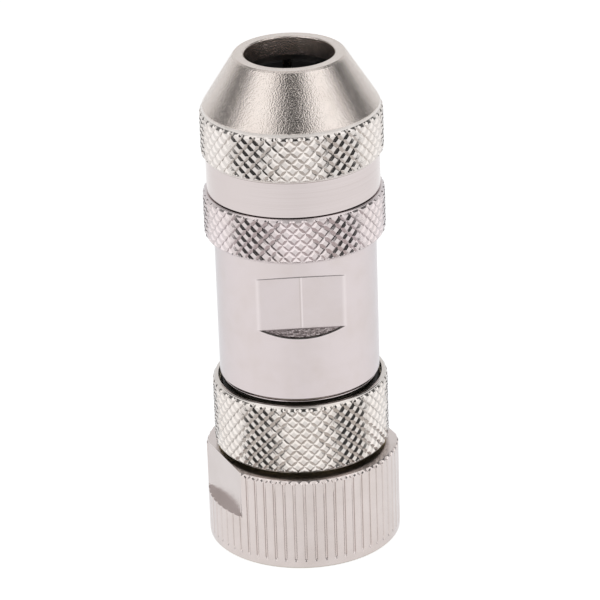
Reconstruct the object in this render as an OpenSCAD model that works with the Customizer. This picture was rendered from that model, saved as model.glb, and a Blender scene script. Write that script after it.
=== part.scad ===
// Circular M12 connector: straight cable socket, field wired, in a shielded metal housing.
// Millimetres. It stands on the open face of its coupling nut, with the cable gland upwards.
// Every turned piece is one closed profile, in pairs of [radius, height], revolved about Z.

/* [Coupling nut] */
// Outside diameter over the ribs
nut_d = 20; // [19.6:0.1:20.4]
// Height of the nut
nut_h = 10.2; // [10.1:0.1:10.5]
// Number of V grooves that leave the ribs between them
nut_grooves = 60; // [40:4:72]
// Depth of one V groove
nut_groove_depth = 0.3; // [0.2:0.05:0.35]
// Angle that one V groove takes at the outside, in degrees
nut_groove_angle = 2.1; // [1.6:0.1:2.6]
// Distance across the two spanner flats
nut_flats = 18; // [17.6:0.1:18.4]
// Height of the ledge that the flats end on
nut_ledge_z = 4.9; // [4.5:0.1:5.5]
// Minor diameter of the M12 coupling thread
nut_thread_d = 10.92; // [10.9:0.01:10.95]
// How far the nut is turned at rest, in degrees
nut_turn = 21; // [0:1:359]

/* [Front housing] */
// Diameter of the knurled collar over its points
collar_d = 18.08; // [17.9:0.02:18.2]
// Height of the knurled collar
collar_h = 7.5; // [7.4:0.1:7.8]
// Gap between the coupling nut and the collar
collar_gap = 0.2; // [0.15:0.05:0.3]
// Diameter of the neck that the coupling nut turns on
neck_d = 13.6; // [13.5:0.02:13.7]
// Number of knurl points round the collar
collar_points = 44; // [40:2:48]

/* [Socket insert] */
// Diameter of the nose that enters the mating plug
nose_d = 8.3; // [8.2:0.02:8.4]
// How far the nose stays back from the nut's face
nose_recess = 0.5; // [0.3:0.1:0.8]
// Diameter of the circle that the contacts stand on
contact_pcd = 5.5; // [5.4:0.05:5.6]
// Diameter of the bore that takes a 1 mm pin
pin_bore_d = 1.04; // [1.02:0.01:1.1]

/* [Rear housing] */
// Diameter of the smooth barrel
body_d = 16.48; // [16.3:0.02:16.6]
// Length of the smooth barrel
body_h = 15.35; // [15:0.05:16]
// Gap between the collar's rim and the barrel's shoulder
body_gap = 0.5; // [0.3:0.1:0.6]
// Distance across the two spanner flats of the barrel
body_flats = 14; // [13.8:0.1:14.4]
// Length of each flat's floor
flat_length = 5.55; // [5:0.05:6]
// Height of the knurled band that ends the housing
band_h = 4.8; // [4.6:0.1:5]
// Diameter of both gland knurls over their points
band_d = 18.4; // [18.3:0.02:18.5]
// Number of knurl points round each gland knurl
band_points = 46; // [42:2:50]
// Bore that holds the insert, the shield rings and the seal
bore_d = 12.4; // [12.3:0.02:12.5]

/* [Clamping nut] */
// Diameter of the plain skirt
skirt_d = 17.56; // [17.4:0.02:17.6]
// Length of the plain skirt
skirt_h = 3.6; // [3.4:0.1:3.8]
// Height of the nut's knurled band
grip_h = 4.9; // [4.7:0.1:5.1]
// Height of the cone
cone_h = 5.25; // [5:0.05:5.5]
// Diameter of the cone's top
cone_top_d = 11.2; // [11:0.1:11.6]
// Cable opening in the cone's top
cable_d = 9.08; // [8.8:0.02:9.2]

/* [Cable gland] */
// Cable diameter that the seal's bore passes before it is squeezed
seal_bore_d = 6.6; // [6.4:0.1:7]
// Number of fingers on the clamping cage
cage_fingers = 8; // [6:1:10]

/* [Threads and fits] */
// Radial clearance of pieces that turn or slide in each other
running = 0.06; // [0.05:0.01:0.08]
// Depth of the diamond knurls
knurl_depth = 0.3; // [0.2:0.02:0.34]

/* [Hidden] */
$fn = 96;
eps = 0.05;            // how far cutters pass the face that they cut
edge = 0.15;           // small edge break of the turned pieces
tiny = 0.06;           // smallest edge break

// Heights of the outer steps, from the floor up
collar_z = nut_h + collar_gap;
collar_top = collar_z + collar_h;
body_z = collar_top + body_gap;
band_z = body_z + body_h;
band_top = band_z + band_h;
clamp_z = band_top + 0.15;
grip_z = clamp_z + skirt_h;
grip_top = grip_z + grip_h;
cone_z = grip_top + 0.4;
cone_top = cone_z + cone_h;

// Radii
nut_r = nut_d / 2;
collar_r = collar_d / 2;
neck_r = neck_d / 2;
nose_r = nose_d / 2;
body_r = body_d / 2;
band_r = band_d / 2;
bore_r = bore_d / 2;
skirt_r = skirt_d / 2;
cone_base_r = band_r - knurl_depth;
cone_top_r = cone_top_d / 2;
cable_r = cable_d / 2;
nut_thread_r = nut_thread_d / 2;

// Coupling nut: the snap ring sits in the nut's groove and floats in the neck's wider one
neck_bottom = 6.6;
nut_floor = neck_bottom - 0.3;
ring_z = 8.35;
ring_h = 0.6;
ring_in_r = neck_r - 0.45;
ring_out_r = neck_r + 0.45;
ring_play = 0.05;
nut_travel = 0.5;

// Front housing: flange seat, thread for the rear housing, wider mouth round its neck
seat_z = collar_z + 1;
flange_h = 1;
flange_r = 6.9;
insert_r = 5.35;
flange_top = seat_z + flange_h;
front_thread_r = 7.5;
mouth_r = 8.4;
mouth_z = collar_top - 1.7;

// Insert
nose_z = nose_recess;
contact_r = contact_pcd / 2;
seal_groove_r = nose_r - 0.25;
seal_groove_z = neck_bottom - 1.1;
socket_r = 0.93;
barrel_r = 1.55;
socket_z = nose_z + 0.8;
barrel_top = flange_top + 12.6;
block_top = barrel_top + 1.5;
block_r = 5.6;
screw_z = flange_top + 8.6;
screw_r = 0.7;
screw_head_r = 0.92;
key_w = 1.2;
key_depth = 0.7;
lug_w = 0.8;
lug_r = insert_r + 0.4;
spigot_r = 0.8;

// Rear housing
flat_z = body_z + 7.45;
flat_slope_h = 0.62;
gland_thread_r = 7.9;
gland_top = clamp_z + 6.1;
o_ring_r = 0.45;
o_ring_z = collar_top - 1;

// Gland stack, from the terminal block up to the clamping nut's shoulder
slide_r = bore_r - running;
sleeve_wall = 0.4;
sleeve_top = barrel_top + 4.8;
shield_top = sleeve_top + 3.4;
braid_top = shield_top + 1.9;
seal_top = braid_top + 5.6;
shield_in_r = seal_bore_d / 2 + 0.2;
shield_flange_h = 1.2;
braid_cone_r = 5.2;
braid_cone_top_r = 4.3;
thrust_h = 0.5;
clamp_shoulder = cone_top - 2.05;
thrust_z = clamp_shoulder - thrust_h - 0.05;
cage_in_r = 4.25;
seat_taper_z = gland_top + 0.5;
taper_top_r = 5.3;

function polar(r, a) = [r * cos(a), r * sin(a)];

// A closed profile of [radius, height] points, revolved about Z
module turned(profile) {
    rotate_extrude() polygon(profile);
}

// A plain ring
module tube(outer_r, inner_r, z, h) {
    turned([[inner_r, z], [outer_r, z], [outer_r, z + h], [inner_r, z + h]]);
}

// A toroidal seal
module o_ring(centre_r, section_r, z) {
    rotate_extrude() translate([centre_r, z]) circle(section_r, $fn = 32);
}

// A ring of diamond knurling. Points and roots alternate on a lattice of half diamonds, and each
// cell is split along the groove that joins its two roots. Both ends run a little way into the rims
// beside them, and the inner wall lies under the core that carries the ring.
module knurl(point_r, depth, core_r, z0, z1, points, half_rows) {
    root_r = point_r - depth;
    lap = 0.03;
    columns = 2 * points;
    step = (z1 - z0) / half_rows;
    rows = concat(
        [[core_r, z0 - lap, 0], [root_r, z0 - lap, 0]],
        [for (i = [0:half_rows]) [root_r, z0 + i * step, (i == 0 || i == half_rows) ? 0 : 1]],
        [[root_r, z1 + lap, 0], [core_r, z1 + lap, 0]]
    );
    count = len(rows);
    vertices = [
        for (i = [0:count - 1], j = [0:columns - 1])
            let (raised = rows[i][2] == 1 && (i + j) % 2 == 0, r = raised ? point_r : rows[i][0])
            concat(polar(r, 360 * j / columns), [rows[i][1]])
    ];
    faces = [
        for (i = [0:count - 1], j = [0:columns - 1])
            let (
                up = (i + 1) % count,
                next = (j + 1) % columns,
                a = i * columns + j,
                b = i * columns + next,
                c = up * columns + next,
                d = up * columns + j
            )
            each (i + j) % 2 == 0 ? [[a, d, b], [b, d, c]] : [[a, d, c], [a, c, b]]
    ];
    polyhedron(points = vertices, faces = faces, convexity = 4);
}

// Outline of the ribbed nut: V grooves between lands that lie just outside the blank
module ribbed_outline() {
    pitch = 360 / nut_grooves;
    outer_r = nut_r + nut_groove_depth;
    root_r = nut_r - nut_groove_depth;
    polygon([
        for (i = [0:nut_grooves - 1])
            each [
                polar(outer_r, i * pitch - nut_groove_angle),
                polar(root_r, i * pitch),
                polar(outer_r, i * pitch + nut_groove_angle)
            ]
    ]);
}

// Places its children at each of the four contacts
module at_contacts() {
    for (i = [0:3]) rotate([0, 0, 45 + 90 * i]) translate([contact_r, 0, 0]) children();
}

module coupling_nut() {
    chamfer = 0.65;
    top_chamfer = 0.35;
    bore_rear_r = neck_r + running;
    groove_r = ring_out_r + 0.1;
    color("gainsboro") rotate([0, 0, nut_turn]) difference() {
        intersection() {
            turned([
                [0, 0], [nut_r - chamfer, 0], [nut_r, chamfer],
                [nut_r, nut_h - top_chamfer], [nut_r - top_chamfer, nut_h], [0, nut_h]
            ]);
            linear_extrude(nut_h) ribbed_outline();
        }
        turned([
            [0, -eps], [nut_thread_r + 0.65, -eps], [nut_thread_r, 0.6],
            [nut_thread_r, nut_floor], [bore_rear_r, nut_floor],
            [bore_rear_r, ring_z - ring_play], [groove_r, ring_z - ring_play],
            [groove_r, ring_z + ring_h + ring_play], [bore_rear_r, ring_z + ring_h + ring_play],
            [bore_rear_r, nut_h - edge], [bore_rear_r + edge + eps, nut_h + eps], [0, nut_h + eps]
        ]);
        for (side = [0, 180]) rotate([0, 0, side])
            translate([nut_flats / 2, -nut_r, nut_ledge_z]) cube([nut_r, 2 * nut_r, nut_h]);
    }
}

module retaining_ring() {
    opening = 28;
    color("silver") rotate([0, 0, opening / 2]) rotate_extrude(angle = 360 - opening)
        translate([ring_in_r, ring_z]) square([ring_out_r - ring_in_r, ring_h]);
}

module nose_seal() {
    section_r = 0.5;
    color("dimgray") o_ring(seal_groove_r + section_r - 0.02, section_r, neck_bottom - section_r);
}

module front_housing() {
    root_r = collar_r - knurl_depth;
    core_r = root_r - 0.07;
    rim_r = root_r + 0.07;
    knurl_z0 = collar_z + 0.3;
    knurl_z1 = collar_top - 0.35;
    groove_r = ring_in_r - 0.1;
    groove_z = ring_z - nut_travel - 2 * ring_play;
    thread_r = front_thread_r + running;
    color("gainsboro") difference() {
        union() {
            turned([
                [insert_r + running, neck_bottom], [neck_r - edge, neck_bottom], [neck_r, neck_bottom + edge],
                [neck_r, groove_z], [groove_r, groove_z],
                [groove_r, ring_z + ring_h + ring_play], [neck_r, ring_z + ring_h + ring_play],
                [neck_r, collar_z], [rim_r - 0.2, collar_z], [rim_r, collar_z + 0.2], [rim_r, knurl_z0],
                [core_r, knurl_z0], [core_r, knurl_z1], [rim_r, knurl_z1],
                [rim_r, collar_top - edge], [rim_r - edge, collar_top],
                [mouth_r + tiny, collar_top], [mouth_r, collar_top - tiny],
                [mouth_r, mouth_z], [thread_r + 0.3, mouth_z], [thread_r, mouth_z - 0.3],
                [thread_r, seat_z], [insert_r + running, seat_z]
            ]);
            knurl(collar_r, knurl_depth, root_r - 0.14, knurl_z0, knurl_z1, collar_points, 11);
        }
        translate([0, -lug_w / 2 - running, neck_bottom - eps])
            cube([lug_r + running, lug_w + 2 * running, seat_z - neck_bottom + 2 * eps]);
    }
}

module contact_carrier() {
    hole_r = 0.65;
    bore_z = socket_z - 0.1;
    color([0.12, 0.12, 0.13]) difference() {
        union() {
            turned([
                [0, nose_z], [nose_r - 0.3, nose_z], [nose_r, nose_z + 0.3], [nose_r, seal_groove_z],
                [seal_groove_r, seal_groove_z], [seal_groove_r, neck_bottom],
                [insert_r, neck_bottom], [insert_r, seat_z], [flange_r, seat_z],
                [flange_r, flange_top], [spigot_r, flange_top],
                [spigot_r, flange_top + 1.2], [0, flange_top + 1.2]
            ]);
            translate([0, -lug_w / 2, neck_bottom + 1]) cube([lug_r, lug_w, seat_z - neck_bottom - 0.5]);
        }
        translate([nose_r - key_depth, -key_w / 2, nose_z - eps])
            cube([nose_r, key_w, seal_groove_z - nose_z - 0.3]);
        at_contacts() {
            translate([0, 0, nose_z - eps]) cylinder(h = 1, r = hole_r);
            translate([0, 0, nose_z - eps]) cylinder(h = 0.3, r1 = hole_r + 0.25, r2 = hole_r);
            translate([0, 0, bore_z]) cylinder(h = flange_top - bore_z + eps, r = socket_r + 0.04);
        }
    }
}

module terminal_block() {
    color([0.16, 0.16, 0.17]) difference() {
        turned([
            [0, flange_top], [block_r, flange_top], [block_r, block_top - 0.4],
            [block_r - 0.4, block_top], [0, block_top]
        ]);
        translate([0, 0, flange_top - eps]) cylinder(h = 1.5, r = spigot_r + 0.05);
        at_contacts() {
            translate([0, 0, flange_top - eps]) cylinder(h = barrel_top - flange_top + 2 * eps, r = barrel_r + 0.05);
            translate([0, 0, barrel_top - eps]) cylinder(h = 2, r = 1.15);
            translate([0, 0, block_top - 0.5]) cylinder(h = 0.6, r1 = 1.15, r2 = 1.75);
            translate([0, 0, screw_z]) rotate([0, 90, 0]) cylinder(h = block_r, r = screw_head_r + 0.15);
        }
    }
}

// One contact: slotted socket below, screw barrel above. The spring slots cross at the mouth.
module socket_contact(i) {
    slot_w = 0.28;
    slot_h = 5;
    color("gold") rotate([0, 0, 45 + 90 * i]) translate([contact_r, 0, 0]) difference() {
        turned([
            [0, socket_z], [socket_r - 0.1, socket_z], [socket_r, socket_z + 0.1],
            [socket_r, flange_top + 0.02], [barrel_r, flange_top + 0.02],
            [barrel_r, barrel_top - 0.02], [0, barrel_top - 0.02]
        ]);
        translate([0, 0, socket_z - eps]) cylinder(h = 7, r = pin_bore_d / 2);
        for (turn = [0, 90]) rotate([0, 0, turn])
            translate([-slot_w / 2, -socket_r - eps, socket_z - eps])
                cube([slot_w, 2 * (socket_r + eps), slot_h]);
        translate([0, 0, screw_z - 3]) cylinder(h = barrel_top, r = 0.85);
        translate([0, 0, screw_z]) rotate([0, 90, 0]) cylinder(h = barrel_r + 1, r = screw_r + 0.03);
    }
}

// Four radial clamping screws, each with a slotted head
module terminal_screws() {
    tip_r = contact_r + 0.3;
    head_r = contact_r + barrel_r + 0.1;
    end_r = head_r + 0.8;
    color("silver") for (i = [0:3]) rotate([0, 0, 45 + 90 * i]) difference() {
        translate([0, 0, screw_z]) rotate([0, 90, 0]) turned([
            [0, tip_r], [screw_r - 0.1, tip_r], [screw_r, tip_r + 0.1], [screw_r, head_r],
            [screw_head_r, head_r], [screw_head_r, end_r], [0, end_r]
        ]);
        translate([end_r - 0.4, -0.15, screw_z - 1]) cube([1, 0.3, 2]);
    }
}

module housing_seal() {
    color("dimgray") o_ring(front_thread_r - 0.1 + o_ring_r - 0.02, o_ring_r, o_ring_z);
}

module rear_housing() {
    root_r = band_r - knurl_depth;
    core_r = root_r - 0.2;
    rim_r = root_r + 0.1;
    knurl_z0 = band_z + 0.25;
    knurl_z1 = band_top - 0.3;
    seal_groove_h = 1.1;
    floor_y = body_flats / 2;
    color("gainsboro") difference() {
        union() {
            turned([
                [bore_r, flange_top], [front_thread_r - 0.4, flange_top], [front_thread_r, flange_top + 0.4],
                [front_thread_r, o_ring_z - seal_groove_h / 2],
                [front_thread_r - 0.1, o_ring_z - seal_groove_h / 2],
                [front_thread_r - 0.1, o_ring_z + seal_groove_h / 2],
                [front_thread_r, o_ring_z + seal_groove_h / 2], [front_thread_r, body_z],
                [body_r - edge, body_z], [body_r, body_z + edge], [body_r, band_z],
                [rim_r - edge, band_z], [rim_r, band_z + edge], [rim_r, knurl_z0],
                [core_r, knurl_z0], [core_r, knurl_z1], [rim_r, knurl_z1],
                [rim_r, band_top - edge], [rim_r - edge, band_top],
                [gland_thread_r - 0.5, band_top], [gland_thread_r - 0.5, band_top + 0.6],
                [gland_thread_r, band_top + 1.1], [gland_thread_r, gland_top - 0.4],
                [gland_thread_r - 0.4, gland_top], [bore_r + 0.3, gland_top], [bore_r, gland_top - 0.3]
            ]);
            knurl(band_r, knurl_depth, root_r - 0.5, knurl_z0, knurl_z1, band_points, 7);
        }
        for (side = [0, 180]) rotate([0, 0, side]) translate([body_r, 0, 0]) rotate([0, -90, 0])
            linear_extrude(2 * body_r) polygon([
                [flat_z, -floor_y], [flat_z + flat_length, -floor_y],
                [flat_z + flat_length + 2 * flat_slope_h, -floor_y - 2 * (body_r - floor_y)],
                [flat_z - 2 * flat_slope_h, -floor_y - 2 * (body_r - floor_y)]
            ]);
    }
}

module spacer_sleeve() {
    color("darkseagreen") tube(slide_r, slide_r - sleeve_wall, flange_top + 0.1, sleeve_top - flange_top - 0.1);
}

// Inner shield ring: a flange in the bore and a cone that the braid is spread over
module shield_ring() {
    color("tan") turned([
        [shield_in_r, sleeve_top], [slide_r, sleeve_top], [slide_r, sleeve_top + shield_flange_h],
        [braid_cone_r, sleeve_top + shield_flange_h], [braid_cone_top_r, shield_top],
        [shield_in_r, shield_top]
    ]);
}

// Outer shield ring: its coned bore presses the braid on the inner ring
module braid_ring() {
    drop = 1.6;
    color("tan") turned([
        [braid_cone_r + 0.05, shield_top - drop], [slide_r, shield_top - drop], [slide_r, braid_top],
        [shield_in_r, braid_top], [shield_in_r, braid_top - shield_flange_h],
        [braid_cone_top_r + 0.15, shield_top + 0.1]
    ]);
}

module cable_seal() {
    seal_r = seal_bore_d / 2;
    lip = 0.35;
    pitch = (seal_top - braid_top - 0.6) / 4;
    color([0.2, 0.2, 0.2]) turned(concat(
        [[seal_r + lip, braid_top], [slide_r - 0.3, braid_top], [slide_r, braid_top + 0.3]],
        [[slide_r, seal_top - 0.3], [slide_r - 0.3, seal_top], [seal_r + lip, seal_top]],
        [
            for (i = [3:-1:0], side = [1, 0])
                [side == 1 ? seal_r : seal_r + lip, braid_top + 0.3 + pitch * (i + side / 2)]
        ]
    ));
}

module clamping_cage() {
    ring_top = seal_top + 2.2;
    slot_w = 0.9;
    grip = 0.3;
    tip_r = taper_top_r - 0.15;
    color("ivory") difference() {
        turned([
            [cage_in_r, seal_top], [slide_r, seal_top], [slide_r, seat_taper_z], [tip_r, thrust_z],
            [cage_in_r, thrust_z], [cage_in_r, thrust_z - 1], [cage_in_r - grip, thrust_z - 1.4],
            [cage_in_r, thrust_z - 1.8], [cage_in_r - grip, thrust_z - 2.6], [cage_in_r, thrust_z - 3]
        ]);
        for (i = [0:cage_fingers - 1]) rotate([0, 0, 360 * i / cage_fingers])
            translate([0, -slot_w / 2, ring_top]) cube([bore_r + 1, slot_w, thrust_z - ring_top + 1]);
    }
}

module thrust_ring() {
    color("darkgray") tube(taper_top_r - running, cable_r + 0.25, thrust_z, thrust_h);
}

module clamping_nut() {
    root_r = band_r - knurl_depth;
    core_r = root_r - 0.2;
    rim_r = root_r + 0.06;
    knurl_z0 = grip_z + 0.2;
    thread_r = gland_thread_r + running;
    color("gainsboro") {
        turned([
            [thread_r + edge, clamp_z], [skirt_r - edge, clamp_z], [skirt_r, clamp_z + edge],
            [skirt_r, grip_z - 0.05], [rim_r, grip_z + 0.12], [rim_r, knurl_z0],
            [core_r, knurl_z0], [core_r, grip_top], [rim_r, grip_top], [rim_r, grip_top + 0.1],
            [cone_base_r, cone_z], [cone_top_r + 0.1, cone_top - edge], [cone_top_r - edge, cone_top],
            [cable_r + 0.2, cone_top], [cable_r, cone_top - 0.2], [cable_r, clamp_shoulder],
            [taper_top_r, clamp_shoulder], [taper_top_r, thrust_z],
            [bore_r + 0.1, seat_taper_z], [thread_r, seat_taper_z],
            [thread_r, clamp_z + edge]
        ]);
        knurl(band_r, knurl_depth, root_r - 0.5, knurl_z0, grip_top, band_points, 8);
    }
}

coupling_nut();
retaining_ring();
nose_seal();
front_housing();
contact_carrier();
terminal_block();
socket_contact(0);  // socket_contact_1
socket_contact(1);  // socket_contact_2
socket_contact(2);  // socket_contact_3
socket_contact(3);  // socket_contact_4
terminal_screws();
housing_seal();
rear_housing();
spacer_sleeve();
shield_ring();
braid_ring();
cable_seal();
clamping_cage();
thrust_ring();
clamping_nut();
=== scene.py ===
# %% [markdown]
# # An M12 cable connector
#
# The real object is a field-wired socket in a nickel-plated brass housing: a ribbed coupling nut, a knurled
# collar, a smooth barrel with spanner flats, and a clamping nut with a cone that grips the cable.
# Its construction and sizes come from the frame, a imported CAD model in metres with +Z up. This lesson gives that
# frame its looks: finely turned and knurled meshes for the four plated pieces, and a finish for everything.

# %% Load the frame
import math

import bpy
from mathutils import Matrix, Vector


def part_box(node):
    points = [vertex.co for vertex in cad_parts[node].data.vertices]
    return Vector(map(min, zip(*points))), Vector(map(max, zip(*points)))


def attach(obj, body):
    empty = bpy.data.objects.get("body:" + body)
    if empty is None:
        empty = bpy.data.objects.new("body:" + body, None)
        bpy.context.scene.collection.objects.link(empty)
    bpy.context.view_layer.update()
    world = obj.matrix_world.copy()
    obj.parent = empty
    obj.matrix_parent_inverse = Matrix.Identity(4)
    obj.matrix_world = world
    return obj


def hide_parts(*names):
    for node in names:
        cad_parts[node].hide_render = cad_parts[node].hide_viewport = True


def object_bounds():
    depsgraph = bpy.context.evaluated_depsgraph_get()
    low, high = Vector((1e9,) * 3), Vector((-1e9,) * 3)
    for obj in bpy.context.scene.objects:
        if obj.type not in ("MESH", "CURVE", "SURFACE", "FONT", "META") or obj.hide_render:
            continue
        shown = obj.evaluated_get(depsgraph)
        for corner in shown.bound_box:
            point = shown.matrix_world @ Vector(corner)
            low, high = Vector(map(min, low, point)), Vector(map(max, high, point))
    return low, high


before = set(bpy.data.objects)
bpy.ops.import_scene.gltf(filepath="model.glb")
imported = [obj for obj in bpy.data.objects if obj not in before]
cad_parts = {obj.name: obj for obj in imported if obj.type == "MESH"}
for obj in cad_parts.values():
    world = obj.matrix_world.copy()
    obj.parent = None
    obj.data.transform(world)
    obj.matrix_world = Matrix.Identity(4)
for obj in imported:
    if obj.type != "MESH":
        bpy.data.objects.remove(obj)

cad_low, cad_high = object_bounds()
print("CAD box in mm:", [round(1000 * (b - a), 2) for a, b in zip(cad_low, cad_high)])

# %% [markdown]
# ## The camera
# A product shot from a long lens: nearly parallel lines, looking down on the object by about a quarter of a
# right angle. A camera could be aimed by a constraint, but plain numbers for direction, distance and roll are
# easier to read and give the same picture each time.

# %% Camera
MM = 0.001
AIM_HEIGHT = 26 * MM
CAMERA_AZIMUTH, CAMERA_ELEVATION = -3, 24.4
CAMERA_DISTANCE = 348 * MM
CAMERA_ROLL = math.radians(-1.97)
CAMERA_LENS, SENSOR_WIDTH = 204, 36
CAMERA_SHIFT = 0.0041, -0.0031


def direction(azimuth, elevation):
    """Unit vector from the object towards a place round it, in degrees; azimuth 0 is the front, -Y."""
    azimuth, elevation = math.radians(azimuth), math.radians(elevation)
    flat = math.cos(elevation)
    return Vector((math.sin(azimuth) * flat, -math.cos(azimuth) * flat, math.sin(elevation)))


def add_object(name, data):
    """Puts a new object with this mesh, camera or lamp into the scene."""
    thing = bpy.data.objects.new(name, data)
    bpy.context.scene.collection.objects.link(thing)
    return thing


def add_camera():
    data = bpy.data.cameras.new("camera")
    data.lens, data.sensor_width = CAMERA_LENS, SENSOR_WIDTH
    data.shift_x, data.shift_y = CAMERA_SHIFT
    data.clip_start = 10 * MM
    camera = add_object("camera", data)
    back = direction(CAMERA_AZIMUTH, CAMERA_ELEVATION)
    turn = back.to_track_quat("Z", "Y").to_matrix().to_4x4() @ Matrix.Rotation(CAMERA_ROLL, 4, "Z")
    camera.matrix_world = Matrix.Translation(Vector((0, 0, AIM_HEIGHT)) + back * CAMERA_DISTANCE) @ turn
    bpy.context.scene.camera = camera
    return camera


print("camera at", [round(c / MM) for c in add_camera().matrix_world.translation], "mm")

# %% [markdown]
# ## Small helpers for node trees
# Shader trees and Geometry Nodes trees share the same math nodes. Laid out node by node, a formula would take
# pages. Here a socket is wrapped in a value, and each sign between two values adds the math node it stands for,
# so a formula reads as a formula.

# %% Node helpers


def sign(operation, swapped=False):
    """An operator of the Value class that adds a math node."""
    def apply(value, other):
        return value.nodes.calc(operation, *((other, value) if swapped else (value, other)))
    return apply


class Value:
    """A node's output that can stand in a formula, like a number."""

    def __init__(self, nodes, socket):
        self.nodes, self.socket = nodes, socket

    __add__ = __radd__ = sign("ADD")
    __mul__ = __rmul__ = sign("MULTIPLY")
    __sub__, __rsub__ = sign("SUBTRACT"), sign("SUBTRACT", swapped=True)
    __truediv__, __rtruediv__ = sign("DIVIDE"), sign("DIVIDE", swapped=True)
    __gt__, __lt__ = sign("GREATER_THAN"), sign("LESS_THAN")


class Nodes:
    """A node tree, with short ways to add nodes that take values or plain numbers."""

    def __init__(self, tree):
        self.tree = tree

    def feed(self, socket, value):
        """Connects a value to an input, or sets the input to a plain number, colour or word."""
        if isinstance(value, Value):
            self.tree.links.new(value.socket, socket)
        else:
            socket.default_value = value

    def node(self, kind, inputs=None, **settings):
        new = self.tree.nodes.new(kind)
        for name, setting in settings.items():
            setattr(new, name, setting)
        for name, value in (inputs or {}).items():
            self.feed(new.inputs[name], value)
        return new

    def out(self, kind, inputs=None, output=0, **settings):
        """Adds a node and gives back one of its outputs."""
        return Value(self, self.node(kind, inputs, **settings).outputs[output])

    def calc(self, operation, *values, clamp=False):
        return self.out("ShaderNodeMath", dict(enumerate(values)), operation=operation, use_clamp=clamp)

    def parts(self, vector):
        return [Value(self, part) for part in self.node("ShaderNodeSeparateXYZ", {0: vector}).outputs]

    def join(self, *parts):
        return self.out("ShaderNodeCombineXYZ", dict(enumerate(parts)))

    def reach(self, x, y):
        """How far a place is from the axis."""
        return self.calc("SQRT", x * x + y * y)

    def add_inputs(self, sockets):
        """Adds named inputs, given with a default number or the name of a type, and gives back their values."""
        for name, default in sockets.items():
            kind = {int: "Int", float: "Float"}.get(type(default), default)
            item = self.tree.interface.new_socket(name, in_out="INPUT", socket_type=f"NodeSocket{kind}")
            if kind != default:
                item.default_value = default
        outputs = self.node("NodeGroupInput").outputs
        return {name: Value(self, outputs[name]) for name in sockets}


# %% [markdown]
# ## Turning a blank
# Each plated piece starts on a lathe, as one closed outline of radius and height that is swept round the axis.
# The Spin or Screw modifier could do this, but the knurling wants its own grid: where the knurl will run, each
# cell gets a middle point, so that both families of crossing grooves fall on edges of the mesh. Small corner
# rounds in the outline catch the light as a real edge break does.

# %% Outline and blank
PLAIN, KNURL, RIB, MILLED = 0, 1, 2, 3
EDGE_BREAK, ROUND_STEPS = 0.06, 3
SIDE_SHARE = 0.45
SUPPORT, ROOM_FOR_SUPPORT = 0.03, 4
STRAIGHT, FOLDED = math.radians(176), math.radians(4)


def corner(before, point, after):
    """The points of a small round at one corner of an outline, with a support row on each side."""
    here = Vector(point[:2])
    a, b = Vector(before[:2]) - here, Vector(after[:2]) - here
    angle = a.angle(b)
    if not FOLDED <= angle <= STRAIGHT:
        return [(here.x, here.y)]
    to_a, to_b = a.normalized(), b.normalized()
    reach = min(EDGE_BREAK / math.tan(angle / 2), SIDE_SHARE * a.length, SIDE_SHARE * b.length)
    radius = reach * math.tan(angle / 2)
    centre = here + (to_a + to_b).normalized() * radius / math.sin(angle / 2)
    start = here + to_a * reach - centre
    sweep = start.angle_signed(here + to_b * reach - centre)
    points = []
    for i in range(ROUND_STEPS + 1):
        spoke = Matrix.Rotation(-sweep * i / ROUND_STEPS, 2) @ start
        points.append((centre.x + spoke.x, centre.y + spoke.y))
    if a.length > ROOM_FOR_SUPPORT * (reach + SUPPORT):
        points.insert(0, tuple(here + to_a * (reach + SUPPORT)))
    if b.length > ROOM_FOR_SUPPORT * (reach + SUPPORT):
        points.append(tuple(here + to_b * (reach + SUPPORT)))
    return points


def outline(points):
    """A closed outline in mm from (radius, height), (radius, height, mark) or lists of marked rows."""
    flat = []
    for point in points:
        flat.extend(point if isinstance(point, list) else [point])
    rows = []
    for i, point in enumerate(flat):
        if len(point) > 2:
            rows.append(point)
            continue
        for r, z in corner(flat[i - 1], point, flat[(i + 1) % len(flat)]):
            rows.append((r, z, PLAIN))
    return rows


def turned_blank(name, rows, angles):
    """Sweeps the rows of an outline round Z at the given angles, in radians, and closes the mesh."""
    def place(r, z, angle):
        return r * MM * math.cos(angle), r * MM * math.sin(angle), z * MM

    columns = len(angles)
    vertices, marks, faces = [], [], []
    for r, z, mark in rows:
        vertices += [place(r, z, angle) for angle in angles]
        marks += [mark] * columns
    for i, (r, z, mark) in enumerate(rows):
        above = (i + 1) % len(rows)
        r_above, z_above, mark_above = rows[above]
        for j, angle in enumerate(angles):
            beside = (j + 1) % columns
            ring = (i * columns + j, i * columns + beside, above * columns + beside, above * columns + j)
            if not mark == mark_above == KNURL:
                faces.append(ring)
                continue
            middle = len(vertices)
            gap = (angles[beside] - angle) % math.tau
            vertices.append(place((r + r_above) / 2, (z + z_above) / 2, angle + gap / 2))
            marks.append(KNURL)
            faces += [(a, b, middle) for a, b in zip(ring, ring[1:] + ring[:1])]
    mesh = bpy.data.meshes.new(name)
    mesh.from_pydata(vertices, [], faces)
    mesh.attributes.new("tool", "INT", "POINT").data.foreach_set("value", marks)
    return add_object(name, mesh)


def ring_angles(count, extra=()):
    """Evenly spaced angles, with a few extra ones where an edge has to fall."""
    every = {round(math.tau * i / count, 7) for i in range(count)}
    every |= {round(a % math.tau, 7) for a in extra}
    return sorted(every)


# %% [markdown]
# ## Running a tree on a piece
# A modifier's inputs are set through the identifiers of the tree's sockets. Once the result is right, it is kept
# as the piece's plain mesh and the modifier goes, so the piece behaves like any other mesh from then on.

# %% Keep the result of a tree


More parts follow.
